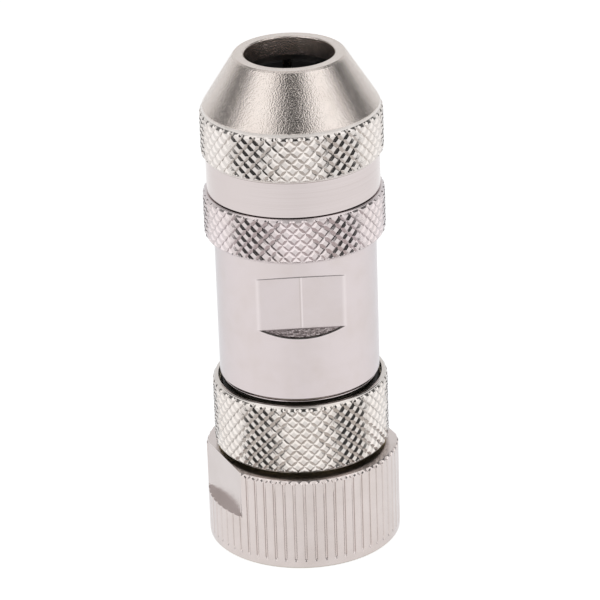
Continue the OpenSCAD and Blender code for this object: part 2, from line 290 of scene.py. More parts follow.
def cut(piece, tree, inputs):
    """Runs a tree on a piece and keeps the result as its mesh."""
    modifier = piece.modifiers.new(tree.name, "NODES")
    modifier.node_group = tree
    for item in tree.interface.items_tree:
        if item.item_type == "SOCKET" and item.in_out == "INPUT" and item.name in inputs:
            modifier[item.identifier] = inputs[item.name]
    graph = bpy.context.evaluated_depsgraph_get()
    mesh = bpy.data.meshes.new_from_object(piece.evaluated_get(graph))
    piece.modifiers.remove(modifier)
    blank, piece.data = piece.data, mesh
    bpy.data.meshes.remove(blank)
    mesh.name = piece.name


# %% [markdown]
# ## A tree that moves points on a turned surface
# Knurls, ribs and flats all do the same thing to a blank: they take the surface down to a smaller radius. So
# each tool is a tree that works out a radius from a point's angle and height, and only moves the points that
# carry its mark. They share the start and the end of the tree.

# %% Cutting tree
MERGE_DISTANCE = 0.0005 * MM


class ShapeTree(Nodes):
    """A Geometry Nodes tree that takes a mesh and a finish, and ends in one dressed mesh."""

    def __init__(self, name, sockets):
        super().__init__(bpy.data.node_groups.new(name, "GeometryNodeTree"))
        self.tree.interface.new_socket("Geometry", in_out="OUTPUT", socket_type="NodeSocketGeometry")
        self.inputs = self.add_inputs({"Geometry": "Geometry", **sockets, "Finish": "Material"})

    def dress(self, geometry):
        whole = self.out("GeometryNodeRealizeInstances", {"Geometry": geometry})
        dressed = self.out("GeometryNodeSetMaterial", {"Geometry": whole, "Material": self.inputs["Finish"]})
        self.node("NodeGroupOutput", {0: dressed})
        print(f"tree {self.tree.name}: {len(self.tree.nodes)} nodes")
        return self.tree


class Cutter(ShapeTree):
    """Start and end of a tree that takes marked points of a turned piece to a new radius."""

    def __init__(self, name, mark, sockets):
        super().__init__(name, sockets)
        self.x, self.y, self.z = self.parts(self.out("GeometryNodeInputPosition"))
        self.radius = self.reach(self.x, self.y)
        self.angle = self.calc("ARCTAN2", self.y, self.x)
        tool = self.out("GeometryNodeInputNamedAttribute", {"Name": "tool"}, "Attribute", data_type="INT")
        self.marked = self.calc("COMPARE", tool, mark, 0.5)

    def chance(self, *values):
        """An even random number from 0 to 1 for each set of whole numbers."""
        place = {"Vector": self.join(*values)}
        return self.out("ShaderNodeTexWhiteNoise", place, "Value", noise_dimensions="3D")

    def off_centre(self, counter):
        """How far a counter is from the nearest whole number."""
        return self.calc("ABSOLUTE", counter - self.calc("ROUND", counter))

    def finish(self, new_radius):
        """Moves the marked points, merges the ones that now coincide, and sets the material."""
        ratio = new_radius / self.radius
        moved = self.out("GeometryNodeSetPosition", {
            "Geometry": self.inputs["Geometry"], "Selection": self.marked,
            "Position": self.join(self.x * ratio, self.y * ratio, self.z)})
        merged = self.out("GeometryNodeMergeByDistance", {"Geometry": moved, "Distance": MERGE_DISTANCE})
        return self.dress(merged)


# %% [markdown]
# ## The knurling wheel
# A diamond knurl is two sets of V grooves that cross at right angles, one rising to the right and one to the
# left. In the unrolled surface, a groove of each set lies wherever the sum or the difference of two counters,
# one round the piece and one up it, is half past a whole number. The diamonds keep a flat on top, because the
# wheel isn't pressed in to its full depth, and no two grooves go quite as deep. The two sets never have quite the
# same angle either, so the finished pattern is twisted a little, which makes the columns of diamonds lean.

# %% Knurling tree


def knurling_tree():
    cutter = Cutter("knurling wheel", KNURL, {
        "Count": 46, "Diamond height": 1.2 * MM, "Start": 0.0, "Radius": 9.2 * MM, "Depth": 0.3 * MM,
        "Flat": 0.2, "Uneven": 0.2, "Lean": 0.0, "Middle": 0.0, "Seed": 1})
    inputs, run = cutter.inputs, cutter.calc
    around = cutter.angle * (inputs["Count"] / math.tau)
    up = (cutter.z - inputs["Start"]) / inputs["Diamond height"]
    slope = 0.5 - inputs["Flat"] * 0.5
    depths = []
    for side, counter in enumerate((around + up, around - up)):
        height = run("DIVIDE", 0.5 - cutter.off_centre(counter), slope, clamp=True)
        groove = run("WRAP", run("FLOOR", counter), inputs["Count"], 0.0)
        luck = cutter.chance(groove, side, inputs["Seed"]) * inputs["Uneven"]
        depths.append((1.0 - height) * (1.0 - luck) * inputs["Depth"])
    cut_radius = inputs["Radius"] - run("MAXIMUM", *depths)
    twist = (inputs["Middle"] - cutter.z) * inputs["Lean"]
    cosine, sine = run("COSINE", twist), run("SINE", twist)
    x, y = cutter.x, cutter.y
    cutter.x, cutter.y = x * cosine - y * sine, x * sine + y * cosine
    return cutter.finish(run("MINIMUM", cutter.radius, cut_radius))


KNURLING = knurling_tree()

# %% [markdown]
# ## The rib cutter
# The coupling nut has narrow straight grooves that leave wide flat ribs, and two spanner flats milled across
# them. A groove has a flat floor and steep walls. It flares a little at the top edge, where the cutter comes in,
# and runs out above a plain rim below. The flats stop on a ledge: above it the radius may not pass the flat's
# plane.

# %% Rib tree
FLARE_LENGTH = 0.25 * MM
FLARE_WIDTH = 0.9
WALL_STEEPNESS = 1.8
LEAST_FACING = 0.1


def rib_tree():
    cutter = Cutter("rib cutter", RIB, {
        "Count": 60, "Radius": 10 * MM, "Depth": 0.3 * MM, "Width": 0.35, "Phase": 0.0, "Run-out": 0.7 * MM,
        "Run-out length": 0.3 * MM, "Flare start": 9.8 * MM, "Flat distance": 9 * MM, "Ledge": 4.9 * MM})
    inputs, run = cutter.inputs, cutter.calc
    angle = cutter.angle - inputs["Phase"]
    off_centre = cutter.off_centre(angle * (inputs["Count"] / math.tau))
    flare = run("DIVIDE", cutter.z - inputs["Flare start"], FLARE_LENGTH, clamp=True)
    width = inputs["Width"] + flare * (FLARE_WIDTH - inputs["Width"])
    wall = run("SUBTRACT", 1.0, off_centre / (width * 0.5), clamp=True)
    steep = run("MULTIPLY", wall, WALL_STEEPNESS, clamp=True)
    entry = run("DIVIDE", cutter.z - inputs["Run-out"], inputs["Run-out length"], clamp=True)
    groove_radius = inputs["Radius"] - steep * entry * inputs["Depth"]
    facing = run("MAXIMUM", run("ABSOLUTE", run("COSINE", angle)), LEAST_FACING)
    above = cutter.z > inputs["Ledge"]
    flat_radius = inputs["Flat distance"] / facing + (1.0 - above)
    radius = run("MINIMUM", cutter.radius, groove_radius)
    return cutter.finish(run("MINIMUM", radius, flat_radius))


RIBS = rib_tree()

# %% [markdown]
# ## The milling cutter
# Two spanner flats are milled on the barrel, and each one climbs out of the metal on a short slope at both ends.
# A Boolean would cut them too, but it leaves long thin faces that shade badly. Here the rows beside a flat are
# first shifted onto the curve where its slope leaves the barrel, so the cut ends on edges of the mesh, and a
# smooth minimum of the two radii gives that edge a fine break.

# %% Milling tree


def milling_tree():
    cutter = Cutter("milling cutter", MILLED, {
        "Radius": 8.24 * MM, "Flat distance": 7 * MM, "Low end": 0.0, "High end": 1.0, "Slope": 2.0,
        "Zone": 0.7 * MM, "Break": 0.05 * MM})
    inputs, run = cutter.inputs, cutter.calc
    facing = run("MAXIMUM", run("ABSOLUTE", run("SINE", cutter.angle)), LEAST_FACING)
    below, above = inputs["Low end"] - cutter.z, cutter.z - inputs["High end"]
    beyond = run("MAXIMUM", run("MAXIMUM", below, above), 0.0)
    over = inputs["Radius"] * facing - inputs["Flat distance"]
    leaves = run("MAXIMUM", over, 0.0) / inputs["Slope"]
    share = beyond / inputs["Zone"]
    inner = leaves * (share * 2.0)
    outer = leaves + (inputs["Zone"] - leaves) * (share * 2.0 - 1.0)
    shifted = inner + (outer - inner) * (share > 0.5)
    side = (above > below) - (below > above)
    cutter.z = cutter.z + (shifted - beyond) * side
    flat_radius = (inputs["Flat distance"] + shifted * inputs["Slope"]) / facing
    return cutter.finish(run("SMOOTH_MIN", cutter.radius, flat_radius, inputs["Break"]))


MILLING = milling_tree()

# %% [markdown]
# ## The thread
# A screw thread is one right-hand ridge that climbs round a core. Moving points of the blank would make it
# wander from row to row, so the ridge follows a path instead: a spiral with a trapezoid swept along it, its foot
# sunk a little into the core. The trapezoid shrinks to nothing at both ends, where the real tool runs out.

# %% Thread tree
THREAD_STEPS = 96
RUN_OUT_RATE, RUN_OUT_END = 12.0, 0.02
PITCH = 1 * MM
CREST_WIDTH = 0.14


def thread_tree():
    shape = ShapeTree("thread", {
        "Middle radius": 7.6 * MM, "Height": 0.55 * MM, "Pitch": PITCH, "Start": 0.0, "Turns": 4.5,
        "Foot width": 0.9 * MM, "Crest width": 0.16 * MM, "Lean": 0.0})
    inputs, out, run = shape.inputs, shape.out, shape.calc
    spiral = out("GeometryNodeCurveSpiral", {
        "Resolution": THREAD_STEPS, "Rotations": inputs["Turns"], "Start Radius": inputs["Middle radius"],
        "End Radius": inputs["Middle radius"], "Height": inputs["Turns"] * inputs["Pitch"], "Reverse": True})
    upright = out("GeometryNodeSetCurveNormal", {0: spiral}, mode="Z_UP")
    along = out("GeometryNodeSplineParameter", output="Factor")
    ends = run("MULTIPLY", run("MINIMUM", along, 1.0 - along), RUN_OUT_RATE, clamp=True)
    path = out("GeometryNodeSetCurveRadius", {"Curve": upright, "Radius": run("MAXIMUM", ends, RUN_OUT_END)})
    profile = out("GeometryNodeCurvePrimitiveQuadrilateral", {
        "Height": inputs["Height"], "Bottom Width": inputs["Foot width"],
        "Top Width": inputs["Crest width"], "Offset": 0.0}, mode="TRAPEZOID")
    turned = out("GeometryNodeTransform", {
        "Geometry": profile, "Rotation": shape.join(0.0, 0.0, inputs["Lean"])})
    ridge = out("GeometryNodeCurveToMesh", {"Curve": path, "Profile Curve": turned, "Fill Caps": True})
    raised = out("GeometryNodeTransform", {
        "Geometry": ridge, "Translation": shape.join(0.0, 0.0, inputs["Start"])})
    both = shape.node("GeometryNodeJoinGeometry")
    shape.feed(both.inputs[0], raised)
    shape.feed(both.inputs[0], inputs["Geometry"])
    return shape.dress(Value(shape, both.outputs[0]))


THREAD = thread_tree()


def thread(piece, radius, height, start, turns, finish, foot_width=0.95, inwards=False):
    """Adds a ridge to a piece, in mm, with its crest outwards or, in a nut, inwards."""
    cut(piece, THREAD, {
        "Middle radius": radius * MM, "Height": height * MM, "Pitch": PITCH, "Start": start * MM, "Turns": turns,
        "Foot width": foot_width * MM, "Crest width": CREST_WIDTH * MM,
        "Lean": math.radians(90 if inwards else -90), "Finish": finish})


# %% [markdown]
# ## Surface detail for the plating
# Nickel on turned brass shows three things up close: fine lines round the piece from the lathe, a slight grain
# where the plating is matt, and a soft unevenness where fingers have been. Each one is a group that puts out a
# mask, so every material can mix its own share. The coordinates are the Object ones, in metres, because they
# stay with the piece when it moves.

# %% Shader group helper


class Group(Nodes):
    """A shader node group with named inputs and masks as outputs."""

    def __init__(self, name, sockets, results=("Mask",)):
        super().__init__(bpy.data.node_groups.new(name, "ShaderNodeTree"))
        for result in results:
            self.tree.interface.new_socket(result, in_out="OUTPUT", socket_type="NodeSocketFloat")
        self.inputs = self.add_inputs(sockets)
        self.place = self.out("ShaderNodeTexCoord", output="Object")

    def noise(self, vector, scale, detail=2.0, roughness=0.5):
        return self.out("ShaderNodeTexNoise", {
            "Vector": vector, "Scale": scale, "Detail": detail, "Roughness": roughness})

    def spread(self, value, low=0.3, high=0.7):
        """Stretches the range from low to high to 0 to 1, and cuts off the rest."""
        return self.out("ShaderNodeMapRange", {"Value": value, "From Min": low, "From Max": high})

    def put_out(self, **values):
        self.node("NodeGroupOutput", values)
        print(f"group {self.tree.name}: {', '.join(values)}")
        return self.tree


# %% Lathe lines, grain, handling and recesses
LINE_SLANT = 0.8


def lathe_lines_group():
    group = Group("lathe lines", {"Spacing": 0.1 * MM, "Break up": 0.4})
    x, y, height = group.parts(group.place)
    across = (height + group.reach(x, y) * LINE_SLANT) * (1.0 / group.inputs["Spacing"])
    around = group.calc("ARCTAN2", y, x) * group.inputs["Break up"]
    return group.put_out(Mask=group.spread(group.noise(group.join(across, around, 0.0), 1.0, 3.0, 0.6)))


def grain_group():
    group = Group("plating grain", {"Size": 0.08 * MM, "Seed": 0.0})
    shift = group.join(group.inputs["Seed"], 0.0, 0.0)
    shifted = group.out("ShaderNodeVectorMath", {0: group.place, 1: shift}, operation="ADD")
    return group.put_out(Mask=group.spread(group.noise(shifted, 1.0 / group.inputs["Size"])))


def handling_group():
    group = Group("handling", {"Size": 3 * MM, "Low": 0.4, "High": 0.7})
    cloud = group.noise(group.place, 1.0 / group.inputs["Size"], 5.0, 0.6)
    return group.put_out(Mask=group.spread(cloud, group.inputs["Low"], group.inputs["High"]))


def recess_group():
    """Where a surface lies deep in a gap or a bore: inside a radius, and between two heights."""
    group = Group("recess", {"Radius": 0.0, "Low": 0.0, "High": 1.0})
    radius, low, high = group.inputs.values()
    x, y, height = group.parts(group.place)
    return group.put_out(Mask=(group.reach(x, y) < radius) * ((height > low) * (height < high)))


LATHE_LINES = lathe_lines_group()
GRAIN = grain_group()
HANDLING = handling_group()
RECESS = recess_group()

# %% [markdown]
# ## Marks of the milling cutter
# A spanner flat is milled in two passes, which leave a seam down its middle, and thin burrs at both ends. Light
# is painted onto it: a painted shade along the seam with a painted highlight beside it, dark painted reflections
# on the burrs, and a painted highlight along its long edges. Masks by place stay sharp however near the camera
# comes, which an image would not.

# %% Painted light on the flats
FLAT_MIDDLE, FLAT_REACH = 28.5 * MM, 4 * MM
FLAT_FLOOR = 6.9 * MM
# where the painted highlight runs along the long edges, where the seam's painted highlight and painted shade lie,
# and where the burrs' dark painted reflections lie
EDGE_HIGHLIGHT_WIDTH, EDGE_HIGHLIGHT_SHARE = 0.3 * MM, 0.6
SEAM_HIGHLIGHT_BAND = (0.05 * MM, 0.12 * MM)
SEAM_SHADE_BAND = (-0.12 * MM, 0.1 * MM)
BURR_WIDTH, BURR_END = 0.22 * MM, 0.012 * MM
LOW_BURR, HIGH_BURR = 0.03 * MM, 0.12 * MM


def flat_painted_light_group():
    """Painted light on a flat: painted highlights on its long edges and beside the seam, painted shade along the
    seam, and dark painted reflections on the burrs.
    """
    group = Group("flat marks", {
        "Half width": 4 * MM, "Low": 0.0, "High": 1.0, "Body radius": 8.24 * MM}, ("Worn", "Scored", "Burr"))
    run, (half_width, low, high, body) = group.calc, group.inputs.values()
    across, outwards, height = group.parts(group.place)
    radius = group.reach(across, outwards)

    def band(centre, half, place=across):
        return run("SUBTRACT", 1.0, run("ABSOLUTE", place - centre) / half, clamp=True)

    edges = band(half_width, EDGE_HIGHLIGHT_WIDTH, run("ABSOLUTE", across))
    outside = radius > FLAT_FLOOR
    here = outside * ((height > low) * (height < high))
    # painted highlight along both long edges and beside the seam
    painted_highlight = run("MAXIMUM", edges * EDGE_HIGHLIGHT_SHARE, band(*SEAM_HIGHLIGHT_BAND))
    inside_body = radius < body - BURR_END
    nearby = run("ABSOLUTE", height - FLAT_MIDDLE) < FLAT_REACH
    at_low_end = (radius > body - BURR_WIDTH) * (height < low + LOW_BURR)
    # dark painted reflections along the burrs at both ends of the flat
    burr_reflection = run("MAXIMUM", at_low_end, height > high - HIGH_BURR) * inside_body * nearby * outside
    # out: the painted highlight, the painted shade along the seam, and the burrs' dark painted reflections
    return group.put_out(Worn=painted_highlight * here, Scored=band(*SEAM_SHADE_BAND) * here, Burr=burr_reflection)


FLAT_PAINTED_LIGHT = flat_painted_light_group()

# %% [markdown]
# ## Materials
# One small class builds a material round the Principled shader. What is the same all over a surface is set on
# the shader's own socket; what changes over the surface comes from the groups and goes into the colour, the
# roughness or the height of one Bump node.

# %% Material helper
COLOUR_A, COLOUR_B, COLOUR_RESULT = 6, 7, 2


class Finish(Nodes):
    """A material with a Principled shader, and short ways to place groups and mixes before it."""

    def __init__(self, name, **values):
        self.material = bpy.data.materials.new(name)
        self.material.use_nodes = True
        super().__init__(self.material.node_tree)
        self.shader = self.tree.nodes["Principled BSDF"]
        self.set(**values)

    def set(self, **sockets):
        for name, value in sockets.items():
            self.feed(self.shader.inputs[name.replace("_", " ")], value)

    def mask(self, group, **values):
        return self.out("ShaderNodeGroup", values, "Mask", node_tree=group)

    def between(self, mask, low, high):
        """A number that goes from low to high with a mask."""
        return mask * (high - low) + low

    def blend(self, mask, first, second):
        """A colour that goes from the first to the second with a mask."""
        colours = {"Factor": mask, COLOUR_A: first, COLOUR_B: second}
        return self.out("ShaderNodeMix", colours, COLOUR_RESULT, data_type="RGBA")

    def bump(self, *layers):
        """Adds up (mask, height in metres) layers into the height of one Bump node."""
        total = sum(mask * height for mask, height in layers)
        self.set(Normal=self.out("ShaderNodeBump", {"Distance": 1.0, "Height": total}))


# %% [markdown]
# ## Nickel plate
# All four outer pieces are nickel on brass, but the nut and the barrel are satin, the knurls bright and the cone
# matt and speckled. One class holds what they share, and a short function for each adds its own zones. A zone is
# a lower and an upper height and the radius it reaches out to, in mm. The torn metal on the ledge of the
# barrel's flat is such a zone, with a coarse grain in its relief.
# Some zones carry painted shade: the gaps by the collar, the neck's groove and the cable's bore. The nut's foot
# carries a painted contact shadow.

# %% Nickel tones and zones
NICKEL_TONES = {
    "ribbed": ((0.618, 0.559, 0.541, 1), (0.578, 0.518, 0.496, 1)),
    "knurled": ((0.62, 0.582, 0.552, 1), (0.585, 0.54, 0.505, 1)),
    "satin": ((0.60, 0.54, 0.543, 1), (0.575, 0.513, 0.505, 1)),
    "gland": ((0.618, 0.582, 0.558, 1), (0.59, 0.548, 0.518, 1)),
    "skirt": ((0.60, 0.542, 0.538, 1), (0.55, 0.492, 0.482, 1)),
    "cone": ((0.62, 0.562, 0.525, 1), (0.59, 0.528, 0.488, 1)),
}
# Painted shade: the first colour for faces in gaps and the neck's groove, the second a painted contact shadow
# along the nut's foot, the third painted shade in the cable's bore.
GAP_SHADE_TONE, FOOT_SHADOW_TONE, BORE_SHADE_TONE = (0.68, 0.62, 0.52, 1), (0.45, 0.42, 0.37, 1), (0.96, 0.86, 0.80, 1)
# Painted light on the spanner flats: the first colour a painted highlight, the second painted shade along the
# seam, the third dark painted reflections on the burrs.
FLAT_HIGHLIGHT_TONE, SEAM_SHADE_TONE, BURR_REFLECTION_TONE = (0.72, 0.66, 0.66, 1), (0.52, 0.46, 0.45, 1), (0.10, 0.09, 0.085, 1)
RIM_TINT, NO_TINT = (0.88, 0.90, 0.92, 1), (1, 1, 1, 1)
ANY_RADIUS = 20.0
NUT_MOUTH, NUT_FOOT = (9.8, 10.3, 8.8), (-0.1, 0.13, ANY_RADIUS)
COLLAR_GAP, NECK_GROOVE, FLAT_LEDGE = (6.0, 17.0, 8.7), (16.0, 18.39, 7.6), (25.15, 25.78, 8.2)
SKIRT, CONE, CABLE_BORE = (38, 42.36, ANY_RADIUS), (47.5, 60, ANY_RADIUS), (49.0, 52.72, 5.4)
SPOTTING, CONE_MATT = 0.05, 0.05


class Plating(Finish):
    """Plated brass: lathe lines and grain as relief, handling as colour and roughness."""

    def __init__(self, tone, roughness, lines, grain, seed, rim=RIM_TINT):
        super().__init__(tone + " nickel", Metallic=1.0, Specular_Tint=rim)
        self.touched = self.mask(HANDLING)
        self.turned = self.mask(LATHE_LINES)
        matt = self.mask(GRAIN, Size=0.08 * MM, Seed=seed)
        self.colour = self.blend(self.touched, *NICKEL_TONES[tone])
        self.sheen = self.between((self.touched + matt) * 0.5, roughness, roughness + SPOTTING)
        self.relief = [(self.turned, lines), (matt, grain)]

    def zone(self, low, high, radius):
        return self.mask(RECESS, Radius=radius * MM, Low=low * MM, High=high * MM)

    def paint(self, mask, colour):
        """Lays a colour over what is there, where the mask says."""
        self.colour = self.blend(mask, self.colour, colour)

    def done(self):
        self.set(Base_Color=self.colour, Roughness=self.sheen)
        self.bump(*self.relief)
        return self.material


# %% The four nickel finishes


def ribbed_nickel():
    finish = Plating("ribbed", 0.20, 1.2e-6, 1.5e-6, seed=0.1)
    # painted shade on the inner part of the nut's top face, in the gap under the collar
    finish.paint(finish.zone(*NUT_MOUTH), GAP_SHADE_TONE)
    # painted contact shadow along the nut's foot
    finish.paint(finish.zone(*NUT_FOOT), FOOT_SHADOW_TONE)
    return finish.done()


def knurled_nickel():
    finish = Plating("knurled", 0.13, 0.8e-6, 1.5e-6, seed=0.2)
    # painted shade on the collar's faces in the gap to the nut and inside it
    finish.paint(finish.zone(*COLLAR_GAP), GAP_SHADE_TONE)
    return finish.done()


def satin_nickel():
    """The barrel's finish, with painted shade in the neck's groove, and painted highlights, painted shade and dark
    painted reflections on its spanner flats.
    """
    finish = Plating("satin", 0.18, 1.6e-6, 1.0e-6, seed=0.3)
    # painted shade on the neck and its groove under the barrel's shoulder
    finish.paint(finish.zone(*NECK_GROOVE), GAP_SHADE_TONE)
    flat = {"Half width": 4.34 * MM, "Low": 25.8 * MM, "High": 31.5 * MM}
    # painted highlights, painted shade and dark painted reflections on the spanner flats
    marks = finish.node("ShaderNodeGroup", flat, node_tree=FLAT_PAINTED_LIGHT).outputs
    for mark, colour in ("Worn", FLAT_HIGHLIGHT_TONE), ("Scored", SEAM_SHADE_TONE), ("Burr", BURR_REFLECTION_TONE):
        finish.paint(Value(finish, marks[mark]), colour)
    torn = finish.mask(GRAIN, Size=0.32 * MM, Seed=2.1)
    finish.relief.append((finish.zone(*FLAT_LEDGE) * torn, 60e-6))
    return finish.done()


def gland_nickel():
    """Bright on the grip and the skirt, matt and speckled on the cone, with painted shade in the cable's bore."""
    finish = Plating("gland", 0.13, 2.2e-6, 1.5e-6, seed=0.4, rim=NO_TINT)
    cone = finish.zone(*CONE)
    finish.paint(finish.zone(*SKIRT), finish.blend(finish.turned, *NICKEL_TONES["skirt"]))
    finish.paint(cone, finish.blend(finish.touched, *NICKEL_TONES["cone"]))
    # painted shade in the cable's bore
    finish.paint(finish.zone(*CABLE_BORE), BORE_SHADE_TONE)
    finish.sheen = finish.sheen + cone * CONE_MATT
    finish.relief.append((cone * finish.mask(GRAIN, Size=0.14 * MM, Seed=1.4), 17e-6))
    return finish.done()


RIBBED_NICKEL = ribbed_nickel()
KNURLED_NICKEL = knurled_nickel()
SATIN_NICKEL = satin_nickel()
GLAND_NICKEL = gland_nickel()
print("nickel finishes:", [m.name for m in bpy.data.materials if "nickel" in m.name])

# %% [markdown]
# ## Finishing a turned piece
# Smooth shading with sharp edges by angle keeps the knurl's facets crisp and the turned faces round. Then the
# CAD solid it stands for is hidden, and the piece hangs on an empty for the body that carries it.

# %% Finish a piece
SHARP = math.radians(32)
CELLS = 8
KNURL_DEPTH = 0.22
KNURL_FLAT = 0.5
KNURL_UNEVEN = 0.22
DIAMOND_HEIGHT = 1.24
KNURL_LEAN = 0.008 / MM


def finish_piece(piece, node, body):
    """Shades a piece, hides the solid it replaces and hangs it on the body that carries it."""
    mesh = piece.data
    if "tool" in mesh.attributes:
        mesh.attributes.remove(mesh.attributes["tool"])
    mesh.shade_smooth()
    mesh.set_sharp_from_angle(angle=SHARP)
    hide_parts(node)
    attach(piece, body)
    low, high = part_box(node)
    heights = [v.co.z / MM for v in mesh.vertices]
    triangles = sum(len(p.vertices) - 2 for p in mesh.polygons)
    print(f"{piece.name}: z {min(heights):.2f} to {max(heights):.2f} mm, {triangles} triangles; "
          f"solid {low.z / MM:.2f} to {high.z / MM:.2f} mm")


def knurl_cells(bottom, top):
    """How many cells of the grid fit between two heights, when every diamond is CELLS high."""
    return round((top - bottom) * CELLS / DIAMOND_HEIGHT)


def knurl_rows(point_radius, start_radius, bottom, top):
    """Rows of the knurl's grid, with the ends of the band turned down at 45 degrees."""
    cells = knurl_cells(bottom, top)
    heights = [bottom + (top - bottom) * i / cells for i in range(cells + 1)]
    return [(min(point_radius, start_radius + min(z - bottom, top - z)), z, KNURL) for z in heights]


def knurl(piece, count, point_radius, bottom, top, seed, finish):
    cut(piece, KNURLING, {
        "Count": count, "Start": bottom * MM, "Radius": point_radius * MM, "Depth": KNURL_DEPTH * MM,
        "Diamond height": (top - bottom) * MM * CELLS / knurl_cells(bottom, top), "Flat": KNURL_FLAT,
        "Uneven": KNURL_UNEVEN, "Lean": KNURL_LEAN, "Middle": (bottom + top) / 2 * MM, "Seed": seed,
        "Finish": finish})


# %% [markdown]
# ## The coupling nut
# The nut turns on the housing's neck and draws the two connectors together. It is turned, bored and threaded,
# then its ribs are cut, and last its spanner flats. Every rib gets the same few columns of the grid: the middle
# of the groove, both walls, and a support line beside each edge, so the walls of the grooves stay flat.

# %% Coupling nut
NUT_TURN = math.radians(21)
NUT_RADIUS, NUT_HEIGHT, NUT_RIM, NUT_FLAT = 10.0, 10.0, 0.72, 9.0
NUT_GROOVES, NUT_GROOVE_DEPTH, NUT_GROOVE_WIDTH = 60, 0.17, 0.30
NUT_LEDGE, LEDGE_STEP = 4.9, 0.0005
NECK_BORE, THREAD_FLOOR = 6.86, 6.3
CHAMFER_LOW, CHAMFER_HIGH = 0.1, 0.2
RUN_OUT_LENGTH = 0.3

heights = [CHAMFER_LOW + 0.03, 0.4, NUT_RIM - 0.03]
heights += [NUT_RIM + share * RUN_OUT_LENGTH for share in (0, 0.15, 0.5, 0.85, 1)]
heights += [2.0, 3.5, NUT_LEDGE - 0.05, NUT_LEDGE, NUT_LEDGE + LEDGE_STEP, NUT_LEDGE + 0.05, 6.5, 8.2]
heights += [NUT_HEIGHT - CHAMFER_HIGH - drop for drop in (0.2, 0.15, 0.1, 0.05, 0.01)]
ribbed_side = [(NUT_RADIUS, z, RIB) for z in heights]
low_chamfer = [(NUT_RADIUS - CHAMFER_LOW + z, z, RIB) for z in (0.03, 0.06, 0.09)]
high_chamfer = [(NUT_RADIUS - z, NUT_HEIGHT - CHAMFER_HIGH + z, RIB) for z in (0.02, 0.06, 0.1, 0.14, 0.17)]
nut_rows = outline([
    (NUT_RADIUS - CHAMFER_LOW, 0), low_chamfer, ribbed_side, high_chamfer,
    (NUT_RADIUS - CHAMFER_HIGH, NUT_HEIGHT, RIB),
    (NECK_BORE + 0.15, NUT_HEIGHT), (NECK_BORE, NUT_HEIGHT - 0.15), (NECK_BORE, 9.0), (7.35, 9.0), (7.35, 8.3),
    (NECK_BORE, 8.3), (NECK_BORE, THREAD_FLOOR), (6.02, THREAD_FLOOR), (6.02, 0.5), (6.1, 0.4), (6.5, 0)])

groove_lines = (0, 0.52, 0.85, 1.17, 1.35, 1.8, 2.4, 180 / NUT_GROOVES)
nut_angles = [360 / NUT_GROOVES * groove + side * line
              for groove in range(NUT_GROOVES) for line in groove_lines for side in (1, -1)]
flat_edge = math.degrees(math.acos(NUT_FLAT / NUT_RADIUS))
nut_angles += [side + turn * flat_edge for side in (0, 180) for turn in (1, -1)]
nut_angles = [a + NUT_TURN for a in ring_angles(0, map(math.radians, nut_angles))]

nut = turned_blank("ribbed_coupling_nut", nut_rows, nut_angles)
cut(nut, RIBS, {
    "Count": NUT_GROOVES, "Radius": NUT_RADIUS * MM, "Depth": NUT_GROOVE_DEPTH * MM,
    "Width": NUT_GROOVE_WIDTH, "Run-out": NUT_RIM * MM, "Flare start": (NUT_HEIGHT - CHAMFER_HIGH - 0.2) * MM,
    "Phase": NUT_TURN, "Flat distance": NUT_FLAT * MM, "Ledge": (NUT_LEDGE + 0.4 * LEDGE_STEP) * MM,
    "Finish": RIBBED_NICKEL})
thread(nut, 5.8, 0.56, start=0.9, turns=5.0, finish=RIBBED_NICKEL, inwards=True)
finish_piece(nut, "coupling_nut", "coupling_nut")

# %% [markdown]
# ## The knurled collar
# The collar is the grip of the front housing. Its knurl starts a little way in from both rims, where the tool
# was fed in, and it shares its grid with the smooth neck below.

# %% Front housing
COLLAR_LOW, COLLAR_HIGH = 10.4, 17.9
COLLAR_POINT, COLLAR_RIM = 9.04, 8.81
COLLAR_POINTS = 46

collar_bottom, collar_top = COLLAR_LOW + 0.12, COLLAR_HIGH - 0.2
collar_knurl = knurl_rows(COLLAR_POINT, COLLAR_RIM + 0.02, collar_bottom, collar_top)
housing_rows = outline([
    (5.41, 6.6), (6.65, 6.6), (6.8, 6.75), (6.8, 7.75), (6.25, 7.75), (6.25, 9.0), (6.8, 9.0), (6.8, COLLAR_LOW),
    (COLLAR_RIM - 0.06, COLLAR_LOW), (COLLAR_RIM, COLLAR_LOW + 0.06), (COLLAR_RIM, collar_bottom - 0.02),
    collar_knurl, (COLLAR_RIM, collar_top + 0.02), (COLLAR_RIM, COLLAR_HIGH - 0.08),
    (COLLAR_RIM - 0.08, COLLAR_HIGH), (8.46, COLLAR_HIGH), (8.4, COLLAR_HIGH - 0.06), (8.4, 16.2), (7.86, 16.2),
    (7.56, 15.9), (7.56, 11.4), (5.41, 11.4)])
housing = turned_blank("knurled_collar", housing_rows, ring_angles(COLLAR_POINTS * CELLS))
knurl(housing, COLLAR_POINTS, COLLAR_POINT, collar_bottom, collar_top, 3, KNURLED_NICKEL)
finish_piece(housing, "front_housing", "front_assembly")

# %% [markdown]
# ## The barrel
# The rear housing is one long turned piece: a thread that screws into the collar, a smooth barrel with two
# spanner flats, a knurled band, and the gland's thread on top. All of it shares one set of angles, and the
# flats get two extra columns where each long edge falls.

# %% Rear housing
BODY_RADIUS, BODY_LOW, BODY_HIGH = 8.24, 18.4, 33.75
BODY_FLAT, FLAT_LOW, FLAT_HIGH = 7.0, 25.85, 31.4
FLAT_ZONE, FLAT_SLOPE, FLAT_BREAK = 0.7, 2.0, 0.18
EDGE_SHIFT = 0.006
BAND_HIGH = 38.55
BAND_POINT, BAND_RIM = 9.2, 9.0
BAND_POINTS = 46
GLAND_TOP = 44.8
BORE = 6.2

